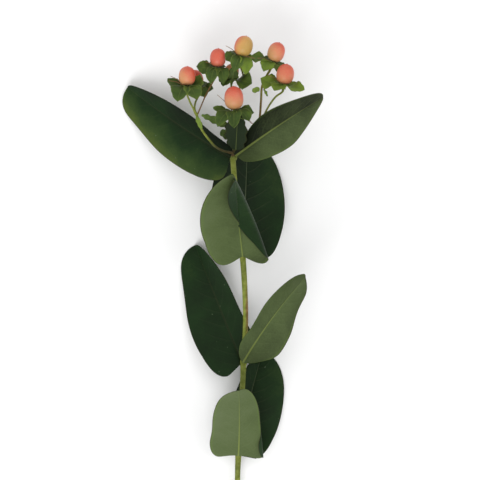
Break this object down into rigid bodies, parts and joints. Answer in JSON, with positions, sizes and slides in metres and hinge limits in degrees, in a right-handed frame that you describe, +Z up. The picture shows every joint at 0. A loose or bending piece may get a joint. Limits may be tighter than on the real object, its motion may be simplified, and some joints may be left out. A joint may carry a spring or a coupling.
{
  "type": "hypericum berry stem",
  "caption": "Cut stem of a flowering shrub lying on its lower leaves, with paired oval leaves and a branched head of egg-shaped berries in green sepals.",
  "frame": {"origin": "on the surface that the stem lies on, below the middle of its bounding box", "axes": "+Y along the stem from its cut end to the berries, +Z up from the surface, +X to the right as seen from above with the berries at the top"},
  "size_m": [0.1128, 0.296, 0.0895],
  "materials": {
    "stem": "satin green bark, brownish on one side",
    "leaf": "waxy dark green above, matte grey-green below",
    "bract": "satin fresh green",
    "calyx": "satin green with brown edges",
    "berry": "glossy coral to peach skin"
  },
  "bodies": {
    "root": {"stem": "stem", "leaf_a_front": "leaf", "leaf_a_back": "leaf", "leaf_b_front": "leaf", "leaf_b_back": "leaf", "leaf_c_front": "leaf", "leaf_c_back": "leaf", "leaf_d_front": "leaf", "leaf_d_back": "leaf", "leaf_middle": "leaf", "bract_branch": "bract", "bract_left": "bract", "bract_low": "bract", "bract_stalk_left": "bract", "bract_stalk_right": "bract", "calyx_1": "calyx", "berry_1": "berry", "calyx_2": "calyx", "berry_2": "berry", "calyx_3": "calyx", "berry_3": "berry", "calyx_4": "calyx", "berry_4": "berry", "calyx_5": "calyx", "berry_5": "berry", "calyx_6": "calyx", "berry_6": "berry", "calyx_7": "calyx", "berry_7": "berry", "calyx_8": "calyx", "berry_8": "berry"}
  },
  "joints": []
}
